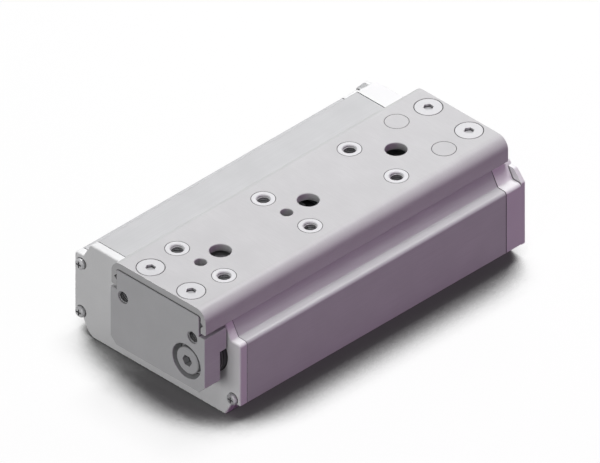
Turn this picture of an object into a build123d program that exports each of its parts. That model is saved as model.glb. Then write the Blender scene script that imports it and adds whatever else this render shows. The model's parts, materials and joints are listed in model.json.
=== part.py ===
from build123d import *

import math
import os

# Electric slide table, retracted. Millimetres, +Y runs along the stroke, +Z up.
# The origin is the middle of the footprint, on the mounting face.

# Housing section
width = 72.0
foot_inset = 6.6
step_inset = 3.2
step_z = 6.0
shelf_z = 29.0
shelf_inset = 3.7
top_z = 34.5
top_inset = 6.75
step_r = 0.4
side_r = 1.2
shelf_r = 0.8
top_r = 1.6

# Lengths along the stroke
end_plate_t = 6.7
front_gap = 3.5
cover_t = 3.0
body_len = 113.0
rear_t = 8.3
stroke = 50.0

# Table
table_w = 41.0
table_short = 2.4
table_top = 43.6
table_t = 2.5
lip_t = 2.2
lip_gap = 0.4
table_r = 4.1
plate_proud = 0.5
table_in = 25.75
table_edge = 0.2
under_r = 0.8

# Ball guide
ball_r = 0.95
race_z = 38.0
guide_gap = 0.65
run_gap = 0.02
block_top_gap = 1.9
block_len = 27.0
block_cap_t = 2.5
block_front = 4.0
block_past_access = 4.5
block_edge = 0.8
cap_low = 0.3
balls_in_row = 5
cage_t = 0.4
cage_h = 1.5

# Table holes, measured from the ends of the table
table_screw_end = 5.35
table_screw_x = 8.85
screw_head_d = 9.1
screw_rim = 0.2
insert_first = 18.25
insert_pitch = 37.5
insert_x = 10.2
insert_d = 7.7
insert_collar_d = 9.4
insert_len = 4.0
insert_hole_d = 4.2
insert_mouth = 0.3
pin_d = 4.0
access_first = 26.9
access_pitch = 38.2
access_d = 7.05
plug_end = 17.7
plug_x = 10.3
edge_break = 0.15

# End plate
plate_bottom = 12.8
plate_chamfer = 2.5
plate_shoulder = 33.8
plate_half_up = 17.9
ledge_z = 25.95
ledge_gap = 0.75
ledge_relief = 0.4
flange_t = 3.7
flange_len = 4.5
tap_x = 15.05
tap_z = 31.9
tap_d = 4.2
rod_pocket_d = 12.3
rod_pocket_depth = 4.0
rod_head_d = 9.4
rod_head_h = 3.6
rod_socket_r = 2.0
rod_socket_depth = 2.2
rod_tap_depth = 12.0
rod_screw_grip = 9.0

# Rod, nut and lead screw
rod_in = 13.2
rod_z = 21.8
rod_d = 12.0
rod_bore_d = 9.0
rod_solid = 28.5
rod_len = 91.5
bore_d = 17.0
nut_d = 16.2
nut_len = 12.0
spigot_len = 4.0
screw_d = 8.0
screw_end_d = 6.0
screw_front = 30.0
bush_len = 15.0
seal_d = 15.8
seal_lip = 1.2
seal_step = 0.4
bumper_t = 2.0
bumper_groove = 0.3
bumper_groove_depth = 0.6
slide_fit = 0.05
m5 = 5.0

# Bearing seat at the rear end of the bore
bearing_d = 19.0
bearing_w = 6.0
bearing_race = 2.0
inner_race = 1.75
shield_gap = 0.3
shield_t = 0.8
stopper_d = 22.0
stopper_seat = 4.0
stopper_t = 3.7
key_slot = 1.5
lock_nut_d = 10.0
nut_gap = 1.0

# Motor and bay
motor_in = 20.6
motor_z = 17.0
motor_band = 9.0
band_cut = 0.4
motor_w = 28.0
motor_len = 45.0
bay_gap = 0.3
bay_r = 3.0
mount_plate_t = 3.0
mount_ledge = 4.6
pilot_d = 22.0
pilot_len = 2.0
shaft_d = 5.0
shaft_in = 15.0
shaft_gap = 0.3

# Belt drive
teeth = 20
pitch = 2.0
pitch_line = 0.254
tooth_h = 0.75
tooth_w = 1.0
belt_back = 0.63
belt_w = 3.8
belt_clear = 0.15
pulley_w = 5.4
flange_w = 0.6
flange_rim = 1.5
pulley_start = 1.0
hub_d = 9.0
cavity_clear = 1.5
cavity_depth = 7.0
island_gap = 1.0

# Covers and their screws
cover_r = 0.6
foot_corner_r = 4.0
parting = 0.3
cover_screw_inset = 3.0
cover_screw_low = 7.8
cover_screw_high = 25.8
cover_screw_d = 2.5
pan_d = 3.8
pan_h = 1.3
cover_screw_grip = 8.0
rim_t = 1.8
rim_z = 33.0
rim_inset = 3.5
rim_low = 29.0
override_d = 5.5
slot_t = 0.8
grommet_from_motor = 11.4
grommet_z = 7.6
grommet_d = 6.0
grommet_wall = 0.8

# Mounting holes of the body
through_d = 4.5
counter_d = 7.5
counter_depth = 6.0
relief_d = 7.6
base_from_table = 4.0
base_pitch_x = 22.0
base_tap_d = 4.2
base_tap_depth = 8.0
block_screw_d = 3.0
block_head_d = 5.2
block_head_h = 1.6
block_screw_grip = 6.0
block_screw_from_end = 4.6

# Stations along Y
total = end_plate_t + front_gap + cover_t + body_len + rear_t
y_front = -total / 2
y_plate = y_front + end_plate_t
y_cover = y_plate + front_gap
y_body = y_cover + cover_t
y_back = y_body + body_len
y_rear = y_back + rear_t
y_table = y_front + plate_proud
y_table_end = y_rear - table_short
table_len = y_table_end - y_table
y_bearing = y_back - stopper_seat - bearing_w
y_stopper = y_back - stopper_seat
y_motor = y_back - mount_plate_t
y_pulley = y_back + pulley_start
y_nut = y_plate + rod_len

# Heights and widths that follow
half = width / 2
table_x = half - table_in
rod_x = half - rod_in
motor_x = motor_in - half
grommet_x = motor_x + grommet_from_motor
base_x = table_x + base_from_table
table_screw_at = (table_screw_end, table_len - table_screw_end)
insert_at = [insert_first + index * insert_pitch for index in range(3)]
pin_at = insert_at[:2]
access_at = [access_first + index * access_pitch for index in range(3)]
plug_at = table_len - plug_end
block_back = y_table + access_at[1] + block_past_access - y_cover
block_starts = (block_front, block_back - block_len)
table_half = table_w / 2
lip_half = table_half - lip_t
block_half = lip_half - guide_gap
race_x = lip_half - guide_gap / 2
table_under = table_top - table_t
lip_bottom = top_z + lip_gap
block_top = table_under - block_top_gap
insert_bottom = table_top - insert_len
ring_r = seal_d / 2 - seal_step
pitch_r = teeth * pitch / (2 * math.pi)
pulley_r = pitch_r - pitch_line


def bar(x0, x1, y0, y1, z0, z1):
    size = (x1 - x0, y1 - y0, z1 - z0)
    return Pos((x0 + x1) / 2, (y0 + y1) / 2, (z0 + z1) / 2) * Box(*size)


def rod_y(x, z, y0, y1, r):
    return Pos(x, (y0 + y1) / 2, z) * Rot(90, 0, 0) * Cylinder(r, y1 - y0)


def rod_z_dir(x, y, z0, z1, r):
    return Pos(x, y, (z0 + z1) / 2) * Cylinder(r, z1 - z0)


def cone_z(x, y, z0, z1, r0, r1):
    return Pos(x, y, (z0 + z1) / 2) * Cone(r0, r1, z1 - z0)


def cone_y(x, z, y0, y1, r0, r1):
    # r0 is the radius at y0, r1 the radius at y1
    return Pos(x, (y0 + y1) / 2, z) * Rot(-90, 0, 0) * Cone(r0, r1, y1 - y0)


def broken_z(x, y, z0, z1, r, edge):
    # An upright round piece whose top edge is broken
    low = rod_z_dir(x, y, z0, z1 - edge, r)
    return low + cone_z(x, y, z1 - edge, z1, r, r - edge)


def mouth_z(x, y, z0, z1, r, edge):
    # The cutter of an upright hole whose top edge is broken
    return rod_z_dir(x, y, z0, z1, r) + cone_z(x, y, z1 - edge, z1, r, r + edge)


def stand(shape, y0, depth):
    # Turns a sketch drawn in X and Z into a prism that runs from y0 to y0 + depth
    return Pos(0, y0 + depth, 0) * Rot(90, 0, 0) * extrude(shape, depth)


def outline(points, radii):
    return make_face(FilletPolyline(*points, radius=radii, close=True))


def mirrored(points, radii):
    left = [(-x, z) for x, z in reversed(points)]
    return points + left, radii + list(reversed(radii))


def housing_face(foot_left=0.0):
    points = [
        (half - foot_inset, 0),
        (half - step_inset, step_z),
        (half, step_z),
        (half, shelf_z),
        (half - shelf_inset, shelf_z),
        (half - top_inset, top_z),
    ]
    radii = [0.0, 0.0, step_r, side_r, shelf_r, top_r]
    every, rounds = mirrored(points, radii)
    rounds[-1] = foot_left
    return outline(every, rounds)


def make_body():
    body = stand(housing_face(), y_body, body_len)
    for end in (0, -1):
        rim = body.faces().sort_by(Axis.Y)[end].edges()
        body = chamfer(rim, parting)
    w = motor_w / 2 + bay_gap
    corners = [(-w, -w), (w, -w), (w, w), (-w, w)]
    bay = outline([(motor_x + x, motor_z + z) for x, z in corners], bay_r)
    bay_len = motor_len + mount_plate_t + bay_gap
    body -= stand(bay, y_back - bay_len, bay_len)
    body -= mount_plate_blank(0)
    body -= rod_y(rod_x, rod_z, y_body, y_back, bore_d / 2)
    body -= rod_y(rod_x, rod_z, y_bearing, y_back, bearing_d / 2)
    body -= rod_y(rod_x, rod_z, y_stopper, y_back, stopper_d / 2)
    for at in access_at:
        y = y_table + at
        body -= rod_z_dir(table_x, y, 0, top_z, through_d / 2)
        body -= mouth_z(table_x, y, top_z - counter_depth, top_z, counter_d / 2, edge_break)
    for side in (-1, 1):
        for at in (access_at[0], access_at[-1]):
            x = base_x + side * base_pitch_x / 2
            body -= rod_z_dir(x, y_table + at, 0, base_tap_depth, base_tap_d / 2)
    for x, z in screw_places():
        body -= rod_y(x, z, y_body, y_body + cover_screw_grip, cover_screw_d / 2)
        body -= rod_y(x, z, y_back - cover_screw_grip, y_back, cover_screw_d / 2)
    for start in block_starts:
        for y in block_screw_stations(start):
            body -= rod_z_dir(table_x, y, top_z - block_screw_grip, top_z, block_screw_d / 2)
    return body


def mount_plate_blank(gap):
    low = motor_z - motor_w / 2 - bay_gap + gap
    high = motor_z + motor_w / 2 + bay_gap - gap
    left = motor_x - motor_w / 2 - bay_gap + gap
    right = motor_x + motor_w / 2 + bay_gap + mount_ledge - gap
    plate = outline([(left, low), (right, low), (right, high), (left, high)], bay_r)
    return stand(plate, y_motor, mount_plate_t)


def screw_places():
    x = half - cover_screw_inset
    return [(-x, cover_screw_high), (-x, cover_screw_low), (x, cover_screw_low)]


def block_screw_stations(start):
    first = y_cover + start + block_screw_from_end
    last = y_cover + start + block_len - block_screw_from_end
    return [first, last]


def make_front_cover():
    cover = stand(housing_face(foot_corner_r), y_cover, cover_t)
    rim = cover.faces().sort_by(Axis.Y)[0].edges()
    cover = fillet(rim, cover_r)
    cover -= rod_y(rod_x, rod_z, y_cover, y_body, seal_d / 2)
    for x, z in screw_places():
        cover -= rod_y(x, z, y_cover, y_body, cover_screw_d / 2)
    return cover


def belt_loop_face(r):
    dx = rod_x - motor_x
    dz = rod_z - motor_z
    distance = math.hypot(dx, dz)
    turn = math.degrees(math.atan2(dz, dx))
    middle = Pos((rod_x + motor_x) / 2, (rod_z + motor_z) / 2)
    loop = middle * Rot(0, 0, turn) * Rectangle(distance, 2 * r)
    loop += Pos(rod_x, rod_z) * Circle(r)
    loop += Pos(motor_x, motor_z) * Circle(r)
    return loop


def island_face():
    # The solid block inside the belt loop, clear of the belt and of both pulleys
    dx = rod_x - motor_x
    dz = rod_z - motor_z
    clear = pulley_r + flange_rim + island_gap
    reach = math.hypot(dx, dz) - 2 * clear
    height = 2 * (pulley_r + belt_clear - island_gap)
    middle = Pos((rod_x + motor_x) / 2, (rod_z + motor_z) / 2)
    return middle * Rot(0, 0, math.degrees(math.atan2(dz, dx))) * Rectangle(reach, height)


def make_rear_cover():
    cover = stand(housing_face(), y_back, rear_t)
    points = [
        (half - top_inset, step_z),
        (half, step_z),
        (half, rim_low),
        (half - rim_inset, rim_z),
        (half - top_inset, rim_z),
    ]
    for side in (-1, 1):
        wing = outline([(side * x, z) for x, z in points], [0, 0, 1.0, 1.0, 0])
        cover += stand(wing, y_rear - rim_t, rim_t)
    rim = cover.faces().sort_by(Axis.Y)[-1].edges()
    cover = fillet(rim, cover_r)
    room = pitch_r + belt_back + cavity_clear
    cavity = belt_loop_face(room) - island_face()
    cover -= stand(cavity, y_back, cavity_depth)
    cover -= bar(
        grommet_x - grommet_d / 2,
        grommet_x + grommet_d / 2,
        y_back,
        y_back + cavity_depth,
        grommet_z - grommet_d / 2,
        motor_z,
    )
    neck = grommet_d / 2 - 2 * edge_break - grommet_wall
    cover -= rod_y(grommet_x, grommet_z, y_back, y_rear, neck)
    cover -= rod_y(rod_x, rod_z, y_back, y_rear, override_d / 2)
    for x, z in screw_places():
        cover -= rod_y(x, z, y_back, y_rear, cover_screw_d / 2)
        cover -= rod_y(x, z, y_rear - pan_h, y_rear, pan_d / 2 + edge_break)
    return cover


def pan_screw(x, z, y_seat, out):
    # The head lies on the side of its seat that "out" names, -1 or 1 along Y
    y_top = y_seat + out * pan_h
    head = rod_y(x, z, min(y_seat, y_top), max(y_seat, y_top), pan_d / 2)
    crown = head.faces().sort_by(Axis.Y)[0 if out < 0 else -1].edges()
    head = fillet(crown, pan_h / 2)
    y_end = y_seat - out * (cover_t + cover_screw_grip)
    return head + rod_y(x, z, min(y_seat, y_end), max(y_seat, y_end), cover_screw_d / 2)


def make_override_plug():
    face_y = y_rear - edge_break
    plug = rod_y(rod_x, rod_z, y_back + cavity_depth, face_y, override_d / 2)
    reach = override_d / 3
    slot = bar(rod_x - reach, rod_x + reach, face_y - slot_t, face_y, rod_z - slot_t / 2, rod_z + slot_t / 2)
    return plug - slot


def make_grommet():
    wall_y = y_back + cavity_depth
    outer = grommet_d / 2 - 2 * edge_break
    ring = rod_y(grommet_x, grommet_z, wall_y - grommet_wall, wall_y, outer)
    ring += rod_y(grommet_x, grommet_z, wall_y, y_rear, outer - grommet_wall)
    return ring - rod_y(grommet_x, grommet_z, y_back, y_rear, outer - 2 * grommet_wall)


def race_offset(gap):
    # Distance from a ball's centre to the apex of a 90 degree groove
    return (ball_r + gap) * math.sqrt(2)


def block_face():
    apex = race_x - race_offset(0)
    opening = block_half - apex
    points = [
        (block_half, top_z),
        (block_half, race_z - opening),
        (apex, race_z),
        (block_half, race_z + opening),
        (block_half, block_top - edge_break),
        (block_half - block_edge, block_top),
    ]
    return mirrored(points, [0.0] * len(points))


def make_guide_block(start):
    points, radii = block_face()
    y0 = y_cover + start + block_cap_t
    depth = block_len - 2 * block_cap_t
    block = Pos(table_x, 0, 0) * stand(outline(points, radii), y0, depth)
    return bore_block(block, start)


def bore_block(block, start):
    for at in access_at:
        block -= rod_z_dir(table_x, y_table + at, top_z, block_top, relief_d / 2)
    for y in block_screw_stations(start):
        block -= rod_z_dir(table_x, y, top_z, block_top, block_screw_d / 2)
        head_z = block_top - block_head_h
        block -= rod_z_dir(table_x, y, head_z, block_top, block_head_d / 2 + edge_break)
    return block


def make_block_cap(start, rear):
    top = block_top - cap_low
    y0 = y_cover + start + (block_len - block_cap_t if rear else 0)
    out = block_half - edge_break
    points = [(out, top_z), (out, top - cap_low), (out - block_edge, top)]
    every, radii = mirrored(points, [0.0] * len(points))
    cap = Pos(table_x, 0, 0) * stand(outline(every, radii), y0, block_cap_t)
    z0 = race_z - cage_h / 2
    reach = race_x + cage_t / 2
    cap += bar(table_x - reach, table_x + reach, y0, y0 + block_cap_t, z0, z0 + cage_h)
    return bore_block(cap, start)


def make_ball_cage(start, side):
    x = table_x + side * race_x
    y0 = y_cover + start + block_cap_t
    length = block_len - 2 * block_cap_t
    z0 = race_z - cage_h / 2
    cage = bar(x - cage_t / 2, x + cage_t / 2, y0, y0 + length, z0, z0 + cage_h)
    step = length / balls_in_row
    for index in range(balls_in_row):
        cage += Pos(x, y0 + step * (index + 0.5), race_z) * Sphere(ball_r)
    return cage


def make_block_screw(y):
    head = rod_z_dir(table_x, y, block_top - block_head_h, block_top, block_head_d / 2)
    shank = rod_z_dir(table_x, y, top_z - block_screw_grip, block_top, block_screw_d / 2)
    return head + shank


def make_motor_body():
    w = motor_w / 2
    corners = [(-w, -w), (w, -w), (w, w), (-w, w)]
    face = outline([(motor_x + x, motor_z + z) for x, z in corners], bay_r)
    y0 = y_motor - motor_len
    motor = stand(face, y0, motor_len)
    for at in (motor_band, motor_len - motor_band):
        low = y0 + at - band_cut
        high = y0 + at + band_cut
        core = w - band_cut
        groove = bar(-w, w, low, high, -w, w) - bar(-core, core, low, high, -core, core)
        motor -= Pos(motor_x, 0, motor_z) * groove
    motor += rod_y(motor_x, motor_z, y_motor, y_motor + pilot_len, pilot_d / 2)
    bore_end = y_motor - shaft_in - shaft_gap
    motor -= rod_y(motor_x, motor_z, bore_end, y_motor + pilot_len, shaft_d / 2 + shaft_gap)
    return motor


def make_motor_plate():
    plate = mount_plate_blank(slide_fit)
    plate -= rod_y(motor_x, motor_z, y_motor, y_back, pilot_d / 2 + slide_fit)
    return plate


def make_motor_shaft():
    return rod_y(motor_x, motor_z, y_motor - shaft_in, y_pulley + pulley_w, shaft_d / 2)


def make_pulley(x, z, bore, hub_from):
    face = Circle(pulley_r)
    for index in range(teeth):
        groove = Pos(pulley_r, 0) * Rectangle(2 * tooth_h, tooth_w)
        face -= Rot(0, 0, index * 360 / teeth) * groove
    y1 = y_pulley + pulley_w
    wheel = stand(Pos(x, z) * face, y_pulley, pulley_w)
    for y in (y_pulley, y1 - flange_w):
        wheel += rod_y(x, z, y, y + flange_w, pulley_r + flange_rim)
    wheel += rod_y(x, z, hub_from, y_pulley, hub_d / 2)
    return wheel - rod_y(x, z, hub_from, y1, bore)


def belt_tooth(distance, straight, around):
    # Place and turn of the tooth that lies at this distance along the pitch line
    loop = 2 * straight + 2 * around
    s = distance % loop
    if s < straight:
        return Pos(s - straight / 2, pitch_r) * Rot(0, 0, 0)
    if s < straight + around:
        turn = (s - straight) / pitch_r
        spot = (straight / 2 + pitch_r * math.sin(turn), pitch_r * math.cos(turn))
        return Pos(*spot) * Rot(0, 0, -math.degrees(turn))
    if s < 2 * straight + around:
        return Pos(straight / 2 - (s - straight - around), -pitch_r) * Rot(0, 0, 180)
    turn = (s - 2 * straight - around) / pitch_r
    spot = (-straight / 2 - pitch_r * math.sin(turn), -pitch_r * math.cos(turn))
    return Pos(*spot) * Rot(0, 0, 180 - math.degrees(turn))


def make_belt():
    dx = rod_x - motor_x
    dz = rod_z - motor_z
    straight = math.hypot(dx, dz)
    around = math.pi * pitch_r
    tip = pulley_r + belt_clear
    inner = tip + tooth_h
    loop = Rectangle(straight, 2 * (inner + belt_back))
    hollow = Rectangle(straight, 2 * inner)
    for side in (-1, 1):
        loop += Pos(side * straight / 2, 0) * Circle(inner + belt_back)
        hollow += Pos(side * straight / 2, 0) * Circle(inner)
    loop -= hollow
    count = round((2 * straight + 2 * around) / pitch)
    step = (2 * straight + 2 * around) / count
    root = inner + belt_back / 4
    tooth = Pos(0, (tip + root) / 2 - pitch_r) * Rectangle(tooth_w, root - tip)
    loop += [belt_tooth(index * step, straight, around) * tooth for index in range(count)]
    turn = math.degrees(math.atan2(dz, dx))
    placed = Pos((rod_x + motor_x) / 2, (rod_z + motor_z) / 2) * Rot(0, 0, turn) * loop
    return stand(placed, y_pulley + (pulley_w - belt_w) / 2, belt_w)


def make_bearing_outer():
    y1 = y_bearing + bearing_w
    r = bearing_d / 2
    ring = rod_y(rod_x, rod_z, y_bearing, y1, r)
    ring -= rod_y(rod_x, rod_z, y_bearing + shield_t, y1 - shield_t, r - bearing_race)
    ring -= rod_y(rod_x, rod_z, y_bearing, y1, screw_end_d / 2 + inner_race + shield_gap)
    return ring


def make_bearing_inner():
    ring = rod_y(rod_x, rod_z, y_bearing, y_stopper, screw_end_d / 2 + inner_race)
    return ring - rod_y(rod_x, rod_z, y_bearing, y_stopper, screw_end_d / 2)


def make_bearing_stopper():
    ring = rod_y(rod_x, rod_z, y_stopper, y_stopper + stopper_t, stopper_d / 2)
    ring -= rod_y(rod_x, rod_z, y_stopper, y_stopper + stopper_t, lock_nut_d / 2 + nut_gap)
    for turn in (0, 180):
        r = stopper_d / 2
        slot = bar(r - 2 * key_slot, r, stopper_t - key_slot, stopper_t, -key_slot / 2, key_slot / 2)
        ring -= Pos(rod_x, y_stopper, rod_z) * Rot(0, turn, 0) * slot
    return ring


def make_lock_nut():
    nut = rod_y(rod_x, rod_z, y_stopper, y_back, lock_nut_d / 2)
    return nut - rod_y(rod_x, rod_z, y_stopper, y_back, screw_end_d / 2)


def make_lead_screw():
    screw = rod_y(rod_x, rod_z, y_cover + screw_front, y_bearing, screw_d / 2)
    return screw + rod_y(rod_x, rod_z, y_bearing, y_pulley + pulley_w, screw_end_d / 2)


def make_rod_bushing():
    bush = rod_y(rod_x, rod_z, y_body, y_body + bush_len, bore_d / 2)
    return bush - rod_y(rod_x, rod_z, y_body, y_body + bush_len, rod_d / 2 + slide_fit)


def make_rod_seal():
    ring = rod_y(rod_x, rod_z, y_cover, y_body, seal_d / 2)
    ring += rod_y(rod_x, rod_z, y_cover - seal_lip, y_cover, ring_r)
    return ring - rod_y(rod_x, rod_z, y_cover - seal_lip, y_body, rod_d / 2 + 2 * slide_fit)


def table_face():
    apex = race_x + race_offset(run_gap)
    opening = apex - lip_half
    points = [
        (lip_half, race_z + opening),
        (apex, race_z),
        (lip_half, race_z - opening),
        (lip_half, lip_bottom),
        (table_half, lip_bottom),
        (table_half, table_top),
    ]
    radii = [0.0, 0.0, 0.0, table_edge, 2 * table_edge, table_r]
    every, rounds = mirrored(points, radii)
    every += [(-lip_half, table_under), (lip_half, table_under)]
    rounds += [under_r, under_r]
    return outline(every, rounds)


def make_table():
    table = Pos(table_x, 0, 0) * stand(table_face(), y_table, table_len)
    for at in table_screw_at:
        for side in (-1, 1):
            x = table_x + side * table_screw_x
            table -= rod_z_dir(x, y_table + at, table_under, table_top, m5 / 2 + screw_rim)
            table -= countersink(x, y_table + at)
            head_r = screw_head_d / 2
            table -= cone_z(x, y_table + at, table_top - edge_break, table_top, head_r, head_r + edge_break)
    for at in insert_at:
        for side in (-1, 1):
            x = table_x + side * insert_x
            table -= mouth_z(x, y_table + at, table_under, table_top, insert_d / 2, edge_break)
    for at in pin_at:
        table -= mouth_z(table_x, y_table + at, table_under, table_top, pin_d / 2, edge_break)
    for at in access_at:
        table -= mouth_z(table_x, y_table + at, table_under, table_top, access_d / 2, edge_break)
    for side in (-1, 1):
        x = table_x + side * plug_x
        table -= mouth_z(x, y_table + plug_at, table_under, table_top, insert_d / 2, edge_break)
    return table


def countersink(x, y):
    depth = (screw_head_d - m5) / 2
    rim_z0 = table_top - screw_rim
    head = cone_z(x, y, rim_z0 - depth, rim_z0, m5 / 2, screw_head_d / 2)
    return head + rod_z_dir(x, y, rim_z0, table_top, screw_head_d / 2)


def make_table_screw(at, side):
    x = table_x + side * table_screw_x
    y = y_table + at
    end_z = table_under - flange_t + 2 * screw_rim
    return countersink(x, y) + rod_z_dir(x, y, end_z, table_top - 2 * screw_rim, m5 / 2)


def make_insert(at, side):
    x = table_x + side * insert_x
    y = y_table + at
    body = broken_z(x, y, insert_bottom, table_top, insert_d / 2, edge_break)
    body += rod_z_dir(x, y, insert_bottom, table_under, insert_collar_d / 2)
    return body - mouth_z(x, y, insert_bottom, table_top, insert_hole_d / 2, insert_mouth)


def make_plug(side):
    x = table_x + side * plug_x
    return broken_z(x, y_table + plug_at, table_under, table_top, insert_d / 2, edge_break)


def plate_face():
    points = [
        (table_half - plate_chamfer, plate_bottom),
        (table_half, plate_bottom + plate_chamfer),
        (table_half, plate_shoulder),
        (plate_half_up, plate_shoulder),
        (plate_half_up, table_under),
    ]
    radii = [table_edge, table_edge, table_edge, 0.0, under_r]
    every, rounds = mirrored(points, radii)
    return outline(every, rounds)


def make_end_plate():
    plate = Pos(table_x, 0, 0) * stand(plate_face(), y_front, end_plate_t)
    rim = plate.faces().sort_by(Axis.Y)[0].edges()
    plate = chamfer(rim, edge_break)
    reach = plate_half_up - under_r
    low = table_under - flange_t
    y_mid = y_front + end_plate_t / 2
    plate += bar(table_x - reach, table_x + reach, y_mid, y_plate + flange_len, low, table_under)
    right = table_x + table_half
    ledge = bar(table_x - table_half, right, y_mid, y_cover - ledge_gap, ledge_z, plate_shoulder)
    plate += ledge - rod_y(rod_x, rod_z, y_plate, y_cover, ring_r + ledge_relief)
    for side in (-1, 1):
        x = table_x + side * tap_x
        plate -= rod_y(x, tap_z, y_front, y_plate, tap_d / 2)
        plate -= cone_y(x, tap_z, y_front, y_front + table_edge, tap_d / 2 + table_edge, tap_d / 2)
        x = table_x + side * table_screw_x
        plate -= rod_z_dir(x, y_table + table_screw_end, low, table_under, m5 / 2)
    pocket = rod_pocket_d / 2
    plate -= rod_y(rod_x, rod_z, y_front, y_front + rod_pocket_depth, pocket)
    plate -= cone_y(rod_x, rod_z, y_front, y_front + edge_break, pocket + edge_break, pocket)
    plate -= rod_y(rod_x, rod_z, y_front, y_plate, m5 / 2 + edge_break)
    return plate


def make_rear_stopper():
    reach = plate_half_up - under_r
    y0 = y_table_end - 2 * table_screw_end
    low = lip_bottom + cap_low
    block = bar(table_x - reach, table_x + reach, y0, y_table_end, low, table_under)
    for side in (-1, 1):
        x = table_x + side * table_screw_x
        block -= rod_z_dir(x, y_table_end - table_screw_end, low, table_under, m5 / 2)
    return block


def make_rod():
    rod = rod_y(rod_x, rod_z, y_plate, y_nut, rod_d / 2)
    rod -= rod_y(rod_x, rod_z, y_plate + rod_solid, y_nut, rod_bore_d / 2)
    rod -= rod_y(rod_x, rod_z, y_plate, y_plate + rod_tap_depth, m5 / 2)
    return rod


def make_lead_nut():
    nut = rod_y(rod_x, rod_z, y_nut, y_nut + nut_len, nut_d / 2)
    nut += rod_y(rod_x, rod_z, y_nut - spigot_len, y_nut, rod_bore_d / 2)
    return nut - rod_y(rod_x, rod_z, y_nut - spigot_len, y_nut + nut_len, screw_d / 2 + slide_fit)


def make_rod_screw():
    seat = y_front + rod_pocket_depth
    head = rod_y(rod_x, rod_z, seat - rod_head_h, seat, rod_head_d / 2)
    head = chamfer(head.faces().sort_by(Axis.Y)[0].edges(), table_edge)
    hexagon = Pos(rod_x, rod_z) * RegularPolygon(rod_socket_r, 6)
    head -= stand(hexagon, seat - rod_head_h, rod_socket_depth)
    return head + rod_y(rod_x, rod_z, seat, y_plate + rod_screw_grip, m5 / 2)


def make_bumper_ring():
    ring = rod_y(rod_x, rod_z, y_plate, y_plate + bumper_t, ring_r)
    start = y_plate + (bumper_t - bumper_groove) / 2
    groove = rod_y(rod_x, rod_z, start, start + bumper_groove, ring_r)
    ring -= groove - rod_y(rod_x, rod_z, start, start + bumper_groove, ring_r - bumper_groove_depth)
    return ring - rod_y(rod_x, rod_z, y_plate, y_plate + bumper_t, rod_d / 2)


def every_part():
    parts = {
        "body": make_body(),
        "front_cover": make_front_cover(),
        "rear_cover": make_rear_cover(),
        "override_plug": make_override_plug(),
        "cable_grommet": make_grommet(),
        "motor_body": make_motor_body(),
        "motor_plate": make_motor_plate(),
        "bearing_outer": make_bearing_outer(),
        "bearing_stopper": make_bearing_stopper(),
        "rod_bushing": make_rod_bushing(),
        "rod_seal": make_rod_seal(),
        "belt": make_belt(),
        "table": make_table(),
        "end_plate": make_end_plate(),
        "rear_stopper": make_rear_stopper(),
        "rod": make_rod(),
        "lead_nut": make_lead_nut(),
        "rod_screw": make_rod_screw(),
        "bumper_ring": make_bumper_ring(),
        "lead_screw": make_lead_screw(),
        "screw_pulley": make_pulley(rod_x, rod_z, screw_end_d / 2, y_back),
        "lock_nut": make_lock_nut(),
        "bearing_inner": make_bearing_inner(),
        "motor_shaft": make_motor_shaft(),
        "motor_pulley": make_pulley(motor_x, motor_z, shaft_d / 2, y_back),
    }
    for number, (x, z) in enumerate(screw_places(), 1):
        parts[f"front_cover_screw_{number}"] = pan_screw(x, z, y_cover, -1)
        parts[f"rear_cover_screw_{number}"] = pan_screw(x, z, y_rear - pan_h, 1)
    for name, start in zip(("front", "rear"), block_starts):
        parts[f"guide_block_{name}"] = make_guide_block(start)
        parts[f"block_cap_{name}_1"] = make_block_cap(start, False)
        parts[f"block_cap_{name}_2"] = make_block_cap(start, True)
        parts[f"ball_cage_{name}_left"] = make_ball_cage(start, -1)
        parts[f"ball_cage_{name}_right"] = make_ball_cage(start, 1)
        for number, y in enumerate(block_screw_stations(start), 1):
            parts[f"block_screw_{name}_{number}"] = make_block_screw(y)
    for side, word in ((-1, "left"), (1, "right")):
        parts[f"table_screw_front_{word}"] = make_table_screw(table_screw_at[0], side)
        parts[f"table_screw_rear_{word}"] = make_table_screw(table_screw_at[1], side)
        parts[f"plug_{word}"] = make_plug(side)
        for number, at in enumerate(insert_at, 1):
            parts[f"insert_{word}_{number}"] = make_insert(at, side)
    return parts


os.makedirs("parts", exist_ok=True)
for name, solid in every_part().items():
    export_step(solid, f"parts/{name}.step")
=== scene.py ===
"""Looks of the electric slide table: finishes, fine screw and thread detail, studio and camera."""

import json
import logging
import math
from dataclasses import dataclass, field
from enum import Enum

import bmesh
import bpy
from mathutils import Matrix, Vector


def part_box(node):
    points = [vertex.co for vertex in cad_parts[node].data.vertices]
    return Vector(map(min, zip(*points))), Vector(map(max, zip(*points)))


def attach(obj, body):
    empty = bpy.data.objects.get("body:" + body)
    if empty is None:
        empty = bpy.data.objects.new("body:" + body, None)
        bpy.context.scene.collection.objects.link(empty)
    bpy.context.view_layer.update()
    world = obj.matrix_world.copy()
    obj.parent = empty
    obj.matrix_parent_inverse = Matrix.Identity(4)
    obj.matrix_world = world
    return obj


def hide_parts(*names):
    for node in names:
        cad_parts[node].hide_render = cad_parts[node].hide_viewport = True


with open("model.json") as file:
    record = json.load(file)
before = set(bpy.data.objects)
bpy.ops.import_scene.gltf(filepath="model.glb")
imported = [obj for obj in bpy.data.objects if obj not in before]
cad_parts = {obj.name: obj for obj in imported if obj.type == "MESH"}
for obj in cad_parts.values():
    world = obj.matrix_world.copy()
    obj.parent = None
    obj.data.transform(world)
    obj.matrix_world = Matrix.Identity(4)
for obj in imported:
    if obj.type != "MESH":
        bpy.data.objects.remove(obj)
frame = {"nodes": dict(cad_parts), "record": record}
log = logging.getLogger("slide_table")
MM = 0.001
WHITE = (1.0, 1.0, 1.0, 1.0)
Triple = tuple[float, float, float]
Socket = bpy.types.NodeSocket


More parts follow.
